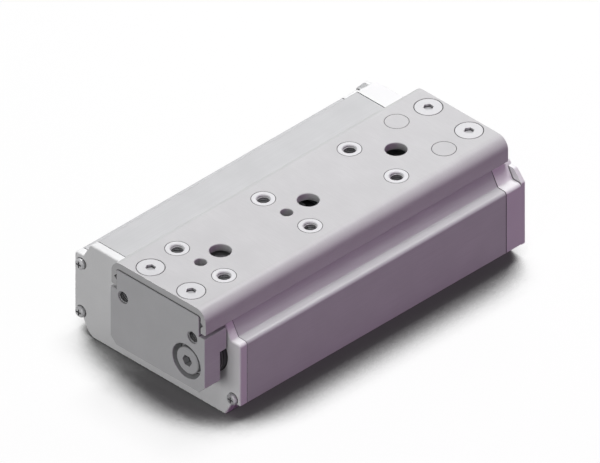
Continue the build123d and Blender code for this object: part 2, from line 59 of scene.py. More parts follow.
class Grain(Enum):
    """Kinds of fine texture, each as how closely its marks lie along X, Y and Z."""

    # Lines drawn along the length.
    EXTRUDED = (1.0, 0.02, 1.0)
    # Lines ground across the width.
    GROUND = (0.05, 1.0, 0.4)
    # Short marks, twice as long along the length as across it.
    TURNED = (1.0, 0.5, 1.0)
    # Moulded, painted or plated: the same along every axis.
    EVEN = (1.0, 1.0, 1.0)


class Way(Enum):
    """Ways that a screw's head or a thread can point, each as a turn from straight up."""

    UP = (0.0, 0.0, 0.0)
    FRONT = (math.radians(90), 0.0, 0.0)
    BACK = (math.radians(-90), 0.0, 0.0)


class Recess(Enum):
    """Recesses in a screw's head, each with the name of its node tree."""

    HEXAGON = "hexagon_socket_screw"
    CROSS = "cross_recess_screw"


@dataclass(frozen=True)
class Finish:
    """One real surface.

    Args:
        name: Blender material name.
        colour: sRGB hex of the surface.
        metallic: share of metal reflection.
        roughness: middle of the roughness range.
        grain: kind of fine texture.
        grain_mm: distance between marks, in millimetres.
        depth_mm: height of the marks, in millimetres.
        tone: how much the colour varies, as a share.
        specular: dielectric reflection level.
    """

    name: str
    colour: str
    metallic: float
    roughness: float
    grain: Grain
    grain_mm: float
    depth_mm: float
    tone: float = 0.04
    specular: float = 0.5


class Finishes:
    """The finishes of the object, one for each material slot and one for the rod's screw."""

    # Satin layer on extruded metal: an even light grey that goes soft towards the edges of a
    # highlight, with faint lines along the length. The real lines lie closer than a pixel, so
    # they are drawn at 0.35 mm.
    ANODISED = Finish(
        "satin_anodised_aluminium",
        "#c3c3c5",
        metallic=0.05,
        roughness=0.42,
        grain=Grain.EXTRUDED,
        grain_mm=0.35,
        depth_mm=0.004,
        specular=0.25,
    )
    # Moulded cover: a whiter, flatter face than the metal beside it, with a broad dull highlight.
    # The spark-eroded grain is drawn coarser than it is.
    RESIN = Finish(
        "pale_cover_resin",
        "#efeff0",
        metallic=0.0,
        roughness=0.46,
        grain=Grain.EVEN,
        grain_mm=0.30,
        depth_mm=0.006,
        tone=0.02,
        specular=0.3,
    )
    # Dark end caps: nearly black, so that the guide blocks read as banded in the raceway gap.
    DARK_RESIN = Finish(
        "dark_cap_resin",
        "#2b2b2d",
        metallic=0.0,
        roughness=0.5,
        grain=Grain.EVEN,
        grain_mm=0.3,
        depth_mm=0.006,
        tone=0.06,
    )
    # Seal, bumper, grommet and belt: black without a clear highlight, dull as rubber is.
    RUBBER = Finish(
        "black_rubber",
        "#2b2b2d",
        metallic=0.0,
        roughness=0.62,
        grain=Grain.EVEN,
        grain_mm=0.25,
        depth_mm=0.01,
        tone=0.08,
    )
    # Table, rod and plugs: finely ground, with a slightly tighter highlight than the anodised body.
    STAINLESS = Finish(
        "ground_stainless_steel",
        "#c5c5c6",
        metallic=0.03,
        roughness=0.38,
        grain=Grain.GROUND,
        grain_mm=0.25,
        depth_mm=0.003,
        specular=0.22,
    )
    # Hardened and ground guide and bearing parts: cool grey with a narrow highlight.
    BEARING = Finish(
        "ground_bearing_steel",
        "#c0c0c3",
        metallic=0.3,
        roughness=0.34,
        grain=Grain.GROUND,
        grain_mm=0.2,
        depth_mm=0.002,
    )
    # Plated screws: smooth, so that the heads catch a small sharp glint and the recess stays dark.
    SCREW = Finish(
        "nickel_plated_screw_steel",
        "#bfbfc1",
        metallic=0.3,
        roughness=0.3,
        grain=Grain.EVEN,
        grain_mm=0.3,
        depth_mm=0.003,
    )
    # The rod's big socket screw: a duller plating, as grey as the end plate round it.
    ROD_SCREW = Finish(
        "zinc_plated_screw_steel",
        "#b0b0b2",
        metallic=0.15,
        roughness=0.42,
        grain=Grain.TURNED,
        grain_mm=0.25,
        depth_mm=0.003,
        specular=0.3,
    )
    # Threaded inserts: turned steel, lighter than the table, with a soft shimmer round the hole.
    INSERT = Finish(
        "passivated_insert_steel",
        "#c8c8ca",
        metallic=0.25,
        roughness=0.33,
        grain=Grain.TURNED,
        grain_mm=0.25,
        depth_mm=0.003,
    )
    # Nut and bush: the one warm colour, seen only at an open end.
    BRONZE = Finish(
        "turned_bronze",
        "#b08a55",
        metallic=0.9,
        roughness=0.35,
        grain=Grain.TURNED,
        grain_mm=0.25,
        depth_mm=0.003,
    )
    # Pulleys: bare turned metal, brighter and more mirror-like than the anodised body.
    PULLEY = Finish(
        "turned_aluminium",
        "#c8c8ca",
        metallic=0.7,
        roughness=0.35,
        grain=Grain.TURNED,
        grain_mm=0.25,
        depth_mm=0.003,
    )
    # Motor shell: a satin black paint with a fine orange-peel.
    MOTOR = Finish(
        "satin_black_motor_paint",
        "#1d1d1f",
        metallic=0.0,
        roughness=0.45,
        grain=Grain.EVEN,
        grain_mm=0.4,
        depth_mm=0.008,
        tone=0.06,
    )

    BY_SLOT = {
        "anodised_aluminium": ANODISED,
        "cover_resin": RESIN,
        "cap_resin": DARK_RESIN,
        "rubber": RUBBER,
        "stainless_steel": STAINLESS,
        "bearing_steel": BEARING,
        "screw_steel": SCREW,
        "insert_steel": INSERT,
        "bronze": BRONZE,
        "pulley_aluminium": PULLEY,
        "motor_shell": MOTOR,
    }


def srgb(code: str) -> tuple[float, float, float, float]:
    """Turns an sRGB hex code into linear values.

    Args:
        code: colour such as "#d9d9d9".

    Returns:
        Linear red, green and blue, and a full alpha.
    """
    parts = [int(code[i : i + 2], 16) / 255 for i in (1, 3, 5)]
    linear = [p / 12.92 if p <= 0.04045 else ((p + 0.055) / 1.055) ** 2.4 for p in parts]
    return (*linear, 1.0)


def add_node(
    tree: bpy.types.NodeTree,
    kind: str,
    inputs: dict[int | str, object] | None = None,
    **settings: object,
) -> bpy.types.Node:
    """Adds a node with its settings, values and links.

    Args:
        tree: node tree that gets the node.
        kind: Blender's identifier of the node.
        inputs: value, socket or list of sockets for each input, by its name or its place.
        **settings: the node's own properties.

    Returns:
        The new node.
    """
    node = tree.nodes.new(kind)
    for name, setting in settings.items():
        setattr(node, name, setting)
    for key, given in (inputs or {}).items():
        for value in given if isinstance(given, list) else [given]:
            if isinstance(value, Socket):
                tree.links.new(value, node.inputs[key])
            else:
                node.inputs[key].default_value = value
    return node


@dataclass
class MaterialMaker:
    """Builds each finish once and keeps it.

    Args:
        made: the materials so far, by name.
        cloud_scale: slow clouds of tone, as a number to a metre.
        cloud_detail: layers of detail in the clouds.
        mark_detail: layers of detail in the marks.
        rough_spread: how far the roughness goes to each side of its middle.
        bump_strength: share of the marks' height that shows.
        dark_up_to: pattern value up to which the tone is darkest.
        light_from: pattern value from which the tone is lightest.
        groove_mm: how near another face has to stand to paint shade on this one, in millimetres.
        groove_closed: open share of the surroundings that makes the painted shade in a groove fully
            dark.
        groove_open: open share of the surroundings from which no shade is painted.
        groove_shade_tone: brightness of the painted shade at the bottom of a groove.
        groove_samples: rays that look for a groove.
    """

    made: dict[str, bpy.types.Material] = field(default_factory=dict)
    cloud_scale: float = 90.0
    cloud_detail: float = 2.0
    mark_detail: float = 3.0
    rough_spread: float = 0.05
    bump_strength: float = 0.35
    dark_up_to: float = 0.12
    light_from: float = 0.42
    groove_mm: float = 0.45
    groove_closed: float = 0.6
    groove_open: float = 0.93
    groove_shade_tone: float = 0.12
    groove_samples: int = 8

    def get(self, finish: Finish) -> bpy.types.Material:
        """Gives the material of a finish.

        Args:
            finish: the surface wanted.

        Returns:
            Its Blender material.
        """
        if finish.name not in self.made:
            self.made[finish.name] = self.build(finish)
        return self.made[finish.name]

    def build(self, finish: Finish) -> bpy.types.Material:
        """Builds the node tree of a finish.

        Args:
            finish: the surface wanted.

        Returns:
            The new material.
        """
        material = bpy.data.materials.new(finish.name)
        material.use_nodes = True
        tree = material.node_tree
        tree.nodes.clear()
        place = add_node(tree, "ShaderNodeTexCoord").outputs["Object"]
        marks = self.marks(tree, place, finish)
        rough = add_node(
            tree,
            "ShaderNodeMapRange",
            {
                "Value": marks,
                "To Min": finish.roughness - self.rough_spread,
                "To Max": finish.roughness + self.rough_spread,
            },
        )
        bump = add_node(
            tree,
            "ShaderNodeBump",
            {
                "Height": marks,
                "Strength": self.bump_strength,
                "Distance": finish.depth_mm * MM,
            },
        )
        shader = add_node(
            tree,
            "ShaderNodeBsdfPrincipled",
            {
                "Base Color": self.colour(tree, place, marks, finish),
                "Metallic": finish.metallic,
                "Roughness": rough.outputs["Result"],
                "Specular IOR Level": finish.specular,
                "Normal": bump.outputs["Normal"],
            },
        )
        add_node(tree, "ShaderNodeOutputMaterial", {"Surface": shader.outputs["BSDF"]})
        return material

    def marks(self, tree: bpy.types.NodeTree, place: Socket, finish: Finish) -> Socket:
        """Lays the fine marks of a finish at their distance in millimetres.

        Args:
            tree: the material's tree.
            place: place on the object.
            finish: the surface wanted.

        Returns:
            The socket that holds the marks, 0 to 1.
        """
        stretch = add_node(
            tree, "ShaderNodeMapping", {"Vector": place, "Scale": finish.grain.value}
        )
        noise = add_node(
            tree,
            "ShaderNodeTexNoise",
            {
                "Vector": stretch.outputs["Vector"],
                "Scale": 1.0 / (finish.grain_mm * MM),
                "Detail": self.mark_detail,
            },
        )
        return noise.outputs["Fac"]

    def colour(
        self, tree: bpy.types.NodeTree, place: Socket, marks: Socket, finish: Finish
    ) -> Socket:
        """Varies the colour a little with the marks and with slow clouds, and darkens it with
        painted shade in grooves.

        Args:
            tree: the material's tree.
            place: place on the object.
            marks: the fine marks.
            finish: the surface wanted.

        Returns:
            The socket that holds the colour.
        """
        cloud = add_node(
            tree,
            "ShaderNodeTexNoise",
            {"Vector": place, "Scale": self.cloud_scale, "Detail": self.cloud_detail},
        )
        pattern = add_node(
            tree, "ShaderNodeMath", {0: cloud.outputs["Fac"], 1: marks}, operation="MULTIPLY"
        )
        ramp = add_node(tree, "ShaderNodeValToRGB", {"Fac": pattern.outputs["Value"]})
        base = srgb(finish.colour)[:3]
        stops = zip(
            ramp.color_ramp.elements,
            (self.dark_up_to, self.light_from),
            (1 - finish.tone, 1 + finish.tone),
        )
        for stop, position, share in stops:
            stop.position = position
            stop.color = [min(1.0, value * share) for value in base] + [1.0]
        # Painted shade: the colour is darkened in joints, grooves and recesses, where other faces
        # stand close.
        toned = add_node(
            tree,
            "ShaderNodeVectorMath",
            {0: ramp.outputs["Color"], "Scale": self.painted_groove_shade(tree)},
            operation="SCALE",
        )
        return toned.outputs["Vector"]

    def painted_groove_shade(self, tree: bpy.types.NodeTree) -> Socket:
        """Paints shade into fine joints, grooves and recesses, where other faces stand close.

        Args:
            tree: the material's tree.

        Returns:
            The socket that is 1 on open faces and low where shade is painted in a groove.
        """
        near = add_node(
            tree,
            "ShaderNodeAmbientOcclusion",
            {"Distance": self.groove_mm * MM},
            samples=self.groove_samples,
        )
        fade = add_node(
            tree,
            "ShaderNodeMapRange",
            {
                "Value": near.outputs["AO"],
                "From Min": self.groove_closed,
                "From Max": self.groove_open,
                "To Min": self.groove_shade_tone,
            },
        )
        return fade.outputs["Result"]


@dataclass(frozen=True)
class ScrewShape:
    """Sizes of one kind of screw, in millimetres.

    Args:
        seat_r: radius of the head where it meets the shank.
        head_h: height of the head.
        edge: broken top edge of the head.
        socket_r: radius over the corners of the recess.
        socket_depth: depth of the recess.
        shank_r: radius of the shank.
        shank_len: length of the shank under the head.
        recess: kind of recess.
    """

    seat_r: float
    head_h: float
    edge: float
    socket_r: float
    socket_depth: float
    shank_r: float
    shank_len: float
    recess: Recess = Recess.HEXAGON


class PointTree:
    """Geometry Nodes tree that puts a shape on every point of a mesh.

    SIZES and COUNTS name the inputs of the shape. RULES names the sizes that are worked out from
    them, each with its operation and its operands.
    """

    SIZES: tuple[str, ...] = ()
    COUNTS: tuple[str, ...] = ()
    RULES: dict[str, tuple[str, str, str | float]] = {}

    def __init__(self, name: str) -> None:
        """Builds the tree round its shape.

        Args:
            name: name of the node group.
        """
        self.tree = bpy.data.node_groups.new(name, "GeometryNodeTree")
        kinds = {
            "NodeSocketGeometry": ("Points",),
            "NodeSocketFloat": self.SIZES,
            "NodeSocketInt": self.COUNTS,
            "NodeSocketVector": ("Turn",),
            "NodeSocketMaterial": ("Finish",),
        }
        face = self.tree.interface
        for kind, sockets in kinds.items():
            for socket in sockets:
                face.new_socket(socket, in_out="INPUT", socket_type=kind)
        face.new_socket("Geometry", in_out="OUTPUT", socket_type="NodeSocketGeometry")
        self.given = add_node(self.tree, "NodeGroupInput").outputs
        self.place(self.shape())

    def value(self, name: str | float) -> Socket | float:
        """Gives an input of the tree, or a size that is worked out from the inputs.

        Args:
            name: name of an input or of a rule, or a plain number.

        Returns:
            The socket that holds the value, or the number itself.
        """
        if isinstance(name, float):
            return name
        if name not in self.RULES:
            return self.given[name]
        operation, *operands = self.RULES[name]
        inputs = {number: self.value(operand) for number, operand in enumerate(operands)}
        node = add_node(self.tree, "ShaderNodeMath", inputs, operation=operation)
        return node.outputs["Value"]

    def shape(self) -> Socket:
        """Makes the shape that stands on each point, as each kind of tree says."""
        raise NotImplementedError

    def place(self, shape: Socket) -> None:
        """Puts the shape on every point, makes it real and gives it its finish.

        Args:
            shape: geometry of one shape.
        """
        points = add_node(self.tree, "GeometryNodeMeshToPoints", {"Mesh": self.value("Points")})
        spread = add_node(
            self.tree,
            "GeometryNodeInstanceOnPoints",
            {
                "Points": points.outputs["Points"],
                "Instance": shape,
                "Rotation": self.value("Turn"),
            },
        )
        real = add_node(
            self.tree, "GeometryNodeRealizeInstances", {"Geometry": spread.outputs["Instances"]}
        )
        dressed = add_node(
            self.tree,
            "GeometryNodeSetMaterial",
            {"Geometry": real.outputs["Geometry"], "Material": self.value("Finish")},
        )
        add_node(self.tree, "NodeGroupOutput", {"Geometry": dressed.outputs["Geometry"]})


class ScrewTree(PointTree):
    """Screw with a recess, whose head ends at the point."""

    SIZES = (
        "Head Radius",
        "Seat Radius",
        "Head Height",
        "Edge Break",
        "Recess Radius",
        "Recess Depth",
        "Shank Radius",
        "Shank Length",
    )
    RULES = {
        "Head Foot": ("MULTIPLY", "Head Height", -1.0),
        "Side Height": ("SUBTRACT", "Head Height", "Edge Break"),
        "Edge Foot": ("MULTIPLY", "Edge Break", -1.0),
        "Top Radius": ("SUBTRACT", "Head Radius", "Edge Break"),
        "Shank Foot": ("SUBTRACT", "Head Foot", "Shank Length"),
        # The cutter stands half above the head, so it is twice as high as the recess is deep.
        "Cutter Height": ("MULTIPLY", "Recess Depth", 2.0),
        "Wing Length": ("MULTIPLY", "Recess Radius", 2.0),
        "Wing Width": ("MULTIPLY", "Recess Radius", 0.5),
    }
    ROUND_SIDES = 48

    def __init__(self, recess: Recess) -> None:
        """Builds the tree.

        Args:
            recess: kind of recess in the head.
        """
        self.recess = recess
        super().__init__(recess.value)

    def shape(self) -> Socket:
        """Makes one screw.

        Returns:
            The screw's geometry, with the head's top at Z 0.
        """
        cutter = self.cross() if self.recess is Recess.CROSS else self.hexagon()
        head = add_node(
            self.tree,
            "GeometryNodeMeshBoolean",
            {"Mesh 1": self.head(), "Mesh 2": cutter},
            operation="DIFFERENCE",
        )
        shank = self.frustum("Shank Radius", "Shank Radius", "Shank Length", "Shank Foot")
        join = add_node(
            self.tree, "GeometryNodeJoinGeometry", {"Geometry": [shank, head.outputs["Mesh"]]}
        )
        return join.outputs["Geometry"]

    def frustum(self, low_r: str, high_r: str, height: str, foot: str) -> Socket:
        """Adds a closed cone frustum or a cylinder.

        Args:
            low_r: name of the radius at its foot.
            high_r: name of the radius at its top.
            height: name of its height.
            foot: name of the Z of its foot.

        Returns:
            The geometry.
        """
        cone = add_node(
            self.tree,
            "GeometryNodeMeshCone",
            {
                "Vertices": self.ROUND_SIDES,
                "Radius Top": self.value(high_r),
                "Radius Bottom": self.value(low_r),
                "Depth": self.value(height),
            },
        )
        where = add_node(self.tree, "ShaderNodeCombineXYZ", {"Z": self.value(foot)})
        moved = add_node(
            self.tree,
            "GeometryNodeTransform",
            {"Geometry": cone.outputs["Mesh"], "Translation": where.outputs["Vector"]},
        )
        return moved.outputs["Geometry"]

    def head(self) -> Socket:
        """Makes the head, with its top edge broken.

        Returns:
            The head's geometry.
        """
        side = self.frustum("Seat Radius", "Head Radius", "Side Height", "Head Foot")
        edge = self.frustum("Head Radius", "Top Radius", "Edge Break", "Edge Foot")
        both = add_node(
            self.tree, "GeometryNodeMeshBoolean", {"Mesh 2": [side, edge]}, operation="UNION"
        )
        return both.outputs["Mesh"]

    def hexagon(self) -> Socket:
        """Makes the cutter of a hexagon socket.

        Returns:
            The cutter's geometry.
        """
        sizes = {"Radius": self.value("Recess Radius"), "Depth": self.value("Cutter Height")}
        cutter = add_node(self.tree, "GeometryNodeMeshCylinder", {"Vertices": 6, **sizes})
        return cutter.outputs["Mesh"]

    def cross(self) -> Socket:
        """Makes the cutter of a cross recess.

        Returns:
            The cutter's geometry.
        """
        wings = []
        for x, y in (("Wing Length", "Wing Width"), ("Wing Width", "Wing Length")):
            sides = {"X": x, "Y": y, "Z": "Cutter Height"}
            size = add_node(
                self.tree,
                "ShaderNodeCombineXYZ",
                {axis: self.value(side) for axis, side in sides.items()},
            )
            wing = add_node(self.tree, "GeometryNodeMeshCube", {"Size": size.outputs["Vector"]})
            wings.append(wing.outputs["Mesh"])
        both = add_node(self.tree, "GeometryNodeMeshBoolean", {"Mesh 2": wings}, operation="UNION")
        return both.outputs["Mesh"]


class ThreadTree(PointTree):
    """Thread ridge that winds up from the point."""

    SIZES = ("Radius", "Pitch", "Length", "Ridge")
    COUNTS = ("Steps",)
    RULES = {"Turns": ("DIVIDE", "Length", "Pitch")}
    RIDGE_SIDES = 4

    def shape(self) -> Socket:
        """Sweeps a small ridge along a helix.

        Returns:
            The ridge's geometry.
        """
        helix = add_node(
            self.tree,
            "GeometryNodeCurveSpiral",
            {
                "Resolution": self.value("Steps"),
                "Rotations": self.value("Turns"),
                "Start Radius": self.value("Radius"),
                "End Radius": self.value("Radius"),
                "Height": self.value("Length"),
            },
        )
        profile = add_node(
            self.tree,
            "GeometryNodeCurvePrimitiveCircle",
            {"Resolution": self.RIDGE_SIDES, "Radius": self.value("Ridge")},
        )
        sweep = add_node(
            self.tree,
            "GeometryNodeCurveToMesh",
            {
                "Curve": helix.outputs["Curve"],
                "Profile Curve": profile.outputs["Curve"],
                "Fill Caps": True,
            },
        )
        return sweep.outputs["Mesh"]


def drop_loose(mesh: bpy.types.Mesh) -> None:
    """Deletes the points of a mesh that belong to no face.

    Args:
        mesh: mesh to clean.
    """
    work = bmesh.new()
    work.from_mesh(mesh)
    loose = [point for point in work.verts if not point.link_faces]
    bmesh.ops.delete(work, geom=loose, context="VERTS")
    work.to_mesh(mesh)
    work.free()


def grow(
    name: str, places: list[Vector], tree: bpy.types.NodeTree, inputs: dict[str, object]
) -> bpy.types.Object:
    """Runs a Geometry Nodes tree on a set of points and keeps the result as a plain mesh.

    Args:
        name: name of the piece.
        places: points in the row frame, in metres.
        tree: the tree to run.
        inputs: value of each named input.

    Returns:
        The piece, with no modifier on it.
    """
    mesh = bpy.data.meshes.new(name + "_points")
    mesh.from_pydata([tuple(p) for p in places], [], [])
    holder = bpy.data.objects.new(name + "_holder", mesh)
    bpy.context.scene.collection.objects.link(holder)
    modifier = holder.modifiers.new("tree", "NODES")
    modifier.node_group = tree
    for item in tree.interface.items_tree:
        if item.item_type == "SOCKET" and item.in_out == "INPUT" and item.name in inputs:
            modifier[item.identifier] = inputs[item.name]
    bpy.context.view_layer.update()
    graph = bpy.context.evaluated_depsgraph_get()
    result = bpy.data.meshes.new_from_object(holder.evaluated_get(graph))
    holder.modifiers.remove(modifier)
    bpy.data.objects.remove(holder)
    result.name = name
    drop_loose(result)
    piece = bpy.data.objects.new(name, result)
    bpy.context.scene.collection.objects.link(piece)
    return piece


def soften(piece: bpy.types.Object, degrees: float) -> None:
    """Shades a piece smooth except where its faces meet more sharply than an angle.

    Args:
        piece: mesh object.
        degrees: sharpest angle that stays smooth.
    """
    piece.data.shade_smooth()
    piece.data.set_sharp_from_angle(angle=math.radians(degrees))


@dataclass
class CadDress:
    """Gives every CAD node the finish of its material slot."""

    maker: MaterialMaker

    def run(self) -> list[bpy.types.Object]:
        """Dresses all nodes.

        Returns:
            The dressed solids.
        """
        slots = {s["node"]: s["material_slot"] for s in frame["record"]["subparts"]}
        for node, piece in frame["nodes"].items():
            piece.data.materials.clear()
            piece.data.materials.append(self.maker.get(Finishes.BY_SLOT[slots[node]]))
        return list(frame["nodes"].values())


@dataclass(frozen=True)
class ScrewGroup:
    """Equal screws that make one piece.

    Args:
        name: name of the piece.
        nodes: CAD nodes that it stands for.
        shape: sizes of the screws.
        way: way that their heads point.
        body: CAD body that they ride on.
        finish: surface of the screws.
    """

    name: str
    nodes: list[str]
    shape: ScrewShape
    way: Way
    body: str
    finish: Finish = Finishes.SCREW


@dataclass
class Fasteners:
    """Visible screws with their real recesses. The radius of a head comes from its CAD node.

    Args:
        maker: maker of the finishes.
        table_screw: countersunk screw that holds the end plate and the stopper to the table.
        rod_screw: socket screw that holds the rod in the end plate.
        block_screw: screw of a guide block.
        cover_screw: pan-head screw of a cover.
        smooth_to: sharpest angle that stays smooth, in degrees.
    """

    maker: MaterialMaker
    table_screw: ScrewShape = ScrewShape(
        seat_r=2.5,
        head_h=2.25,
        edge=0.25,
        socket_r=1.7,
        socket_depth=0.95,
        shank_r=2.5,
        shank_len=3.5,
    )
    rod_screw: ScrewShape = ScrewShape(
        seat_r=4.7,
        head_h=3.6,
        edge=0.3,
        socket_r=2.05,
        socket_depth=2.4,
        shank_r=2.5,
        shank_len=11.0,
    )
    block_screw: ScrewShape = ScrewShape(
        seat_r=2.6,
        head_h=1.6,
        edge=0.2,
        socket_r=1.15,
        socket_depth=1.0,
        shank_r=1.5,
        shank_len=8.0,
    )
    cover_screw: ScrewShape = ScrewShape(
        seat_r=1.9,
        head_h=1.3,
        edge=0.45,
        socket_r=1.1,
        socket_depth=0.9,
        shank_r=1.25,
        shank_len=10.0,
        recess=Recess.CROSS,
    )
    smooth_to: float = 35.0

    def run(self) -> list[bpy.types.Object]:
        """Makes every group of screws.

        Returns:
            One piece for each group.
        """
        trees = {recess: ScrewTree(recess).tree for recess in Recess}
        return [self.make(group, trees[group.shape.recess]) for group in self.groups()]

    def groups(self) -> list[ScrewGroup]:
        """Sorts the screws into groups.

        Returns:
            The groups of equal screws.
        """
        ends = ("front", "rear")
        table = [f"table_screw_{end}_{side}" for end in ends for side in ("left", "right")]
        block = [f"block_screw_{end}_{number}" for end in ends for number in (1, 2)]
        groups = [
            ScrewGroup("table_screws", table, self.table_screw, Way.UP, "table_unit"),
            ScrewGroup("block_screws", block, self.block_screw, Way.UP, "housing"),
            ScrewGroup(
                "rod_socket_screw",
                ["rod_screw"],
                self.rod_screw,
                Way.FRONT,
                "table_unit",
                Finishes.ROD_SCREW,
            ),
        ]
        for end, way in zip(ends, (Way.FRONT, Way.BACK)):
            cover = [f"{end}_cover_screw_{number}" for number in (1, 2, 3)]
            groups.append(
                ScrewGroup(f"{end}_cover_screws", cover, self.cover_screw, way, "housing")
            )
        return groups

    def make(self, group: ScrewGroup, tree: bpy.types.NodeTree) -> bpy.types.Object:
        """Makes one group of screws in the place of their CAD nodes.

        Args:
            group: the screws.
            tree: tree that makes them.

        Returns:
            The piece.
        """
        places = [self.top_of(node, group.way) for node in group.nodes]
        low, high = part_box(group.nodes[0])
        inputs = {
            "Head Radius": (high.x - low.x) / 2,
            "Seat Radius": group.shape.seat_r * MM,
            "Head Height": group.shape.head_h * MM,
            "Edge Break": group.shape.edge * MM,
            "Recess Radius": group.shape.socket_r * MM,
            "Recess Depth": group.shape.socket_depth * MM,
            "Shank Radius": group.shape.shank_r * MM,
            "Shank Length": group.shape.shank_len * MM,
            "Turn": group.way.value,
            "Finish": self.maker.get(group.finish),
        }
        piece = grow(group.name, places, tree, inputs)
        soften(piece, self.smooth_to)
        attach(piece, group.body)
        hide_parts(*group.nodes)
        return piece

    @staticmethod
    def top_of(node: str, way: Way) -> Vector:
        """Gives the middle of a screw's head top.

        Args:
            node: CAD node of the screw.
            way: way that its head points.

        Returns:
            The point in the row frame.
        """
        low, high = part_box(node)
        spot = (low + high) / 2
        if way is Way.UP:
            spot.z = high.z
        else:
            spot.y = low.y if way is Way.FRONT else high.y
        return spot


@dataclass(frozen=True)
class ThreadGroup:
    """Equal threads that make one piece.

    Args:
        name: name of the piece.
        starts: start of each thread.
        length: length of the threads, in millimetres.
        way: way that they go from their start.
        slot: material slot of the record, which also gives the finish.
    """

    name: str
    starts: list[Vector]
    length: float
    way: Way
    slot: str


@dataclass
class Threads:
    """Thread ridges in the table's inserts and in the end plate, in millimetres.

    Args:
        maker: maker of the finishes.
        radius: radius of the ridge's middle.
        pitch: distance between two turns.
        ridge: half the height of the ridge.
        steps: points to each turn of the ridge.
        inset: distance of the ridge's start from the end of its piece.
        insert_len: length of an insert's thread.
        plate_len: length of a thread in the end plate.
        tap_x: distance of the end plate's threads from its middle.
        tap_z: height of the end plate's threads.
        smooth_to: sharpest angle that stays smooth, in degrees.
    """

    maker: MaterialMaker
    radius: float = 2.12
    pitch: float = 0.8
    ridge: float = 0.24
    steps: int = 24
    inset: float = 0.3
    insert_len: float = 3.1
    plate_len: float = 6.0
    tap_x: float = 15.05
    tap_z: float = 31.9
    smooth_to: float = 30.0

    def run(self) -> list[bpy.types.Object]:
        """Makes all threads.

        Returns:
            One piece for each group.
        """
        tree = ThreadTree("thread_ridge").tree
        return [self.make(group, tree) for group in (self.in_inserts(), self.in_plate())]

    def in_inserts(self) -> ThreadGroup:
        """Places the threads of the inserts.

        Returns:
            The group.
        """
        starts = []
        for node in [f"insert_{side}_{n}" for side in ("left", "right") for n in (1, 2, 3)]:
            low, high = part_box(node)
            foot = low.z + self.inset * MM
            starts.append(Vector(((low.x + high.x) / 2, (low.y + high.y) / 2, foot)))
        return ThreadGroup("insert_threads", starts, self.insert_len, Way.UP, "insert_steel")

    def in_plate(self) -> ThreadGroup:
        """Places the threads of the end plate.

        Returns:
            The group.
        """
        low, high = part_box("end_plate")
        middle = (low.x + high.x) / 2
        start, height = low.y + self.inset * MM, self.tap_z * MM
        starts = [Vector((middle + x * MM, start, height)) for x in (-self.tap_x, self.tap_x)]
        return ThreadGroup(
            "end_plate_threads", starts, self.plate_len, Way.BACK, "anodised_aluminium"
        )

    def make(self, group: ThreadGroup, tree: bpy.types.NodeTree) -> bpy.types.Object:
        """Makes one group of threads, which ride on the table.

        Args:
            group: the threads.
            tree: tree that makes them.

        Returns:
            The piece.
        """
        inputs = {
            "Radius": self.radius * MM,
            "Pitch": self.pitch * MM,
            "Length": group.length * MM,
            "Ridge": self.ridge * MM,
            "Steps": self.steps,
            "Turn": group.way.value,
            "Finish": self.maker.get(Finishes.BY_SLOT[group.slot]),
        }
        piece = grow(group.name, group.starts, tree, inputs)
        soften(piece, self.smooth_to)
        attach(piece, "table_unit")
        return piece


@dataclass(frozen=True)
class Lamp:
    """Soft rectangular lamp.

    Args:
        name: lamp's name.
        place: its place, in metres.
        size: its width and height, in metres.
        watts: its power.
        colour: its linear colour.
    """

    name: str
    place: Triple
    size: tuple[float, float]
    watts: float
    colour: Triple = (1.0, 1.0, 1.0)


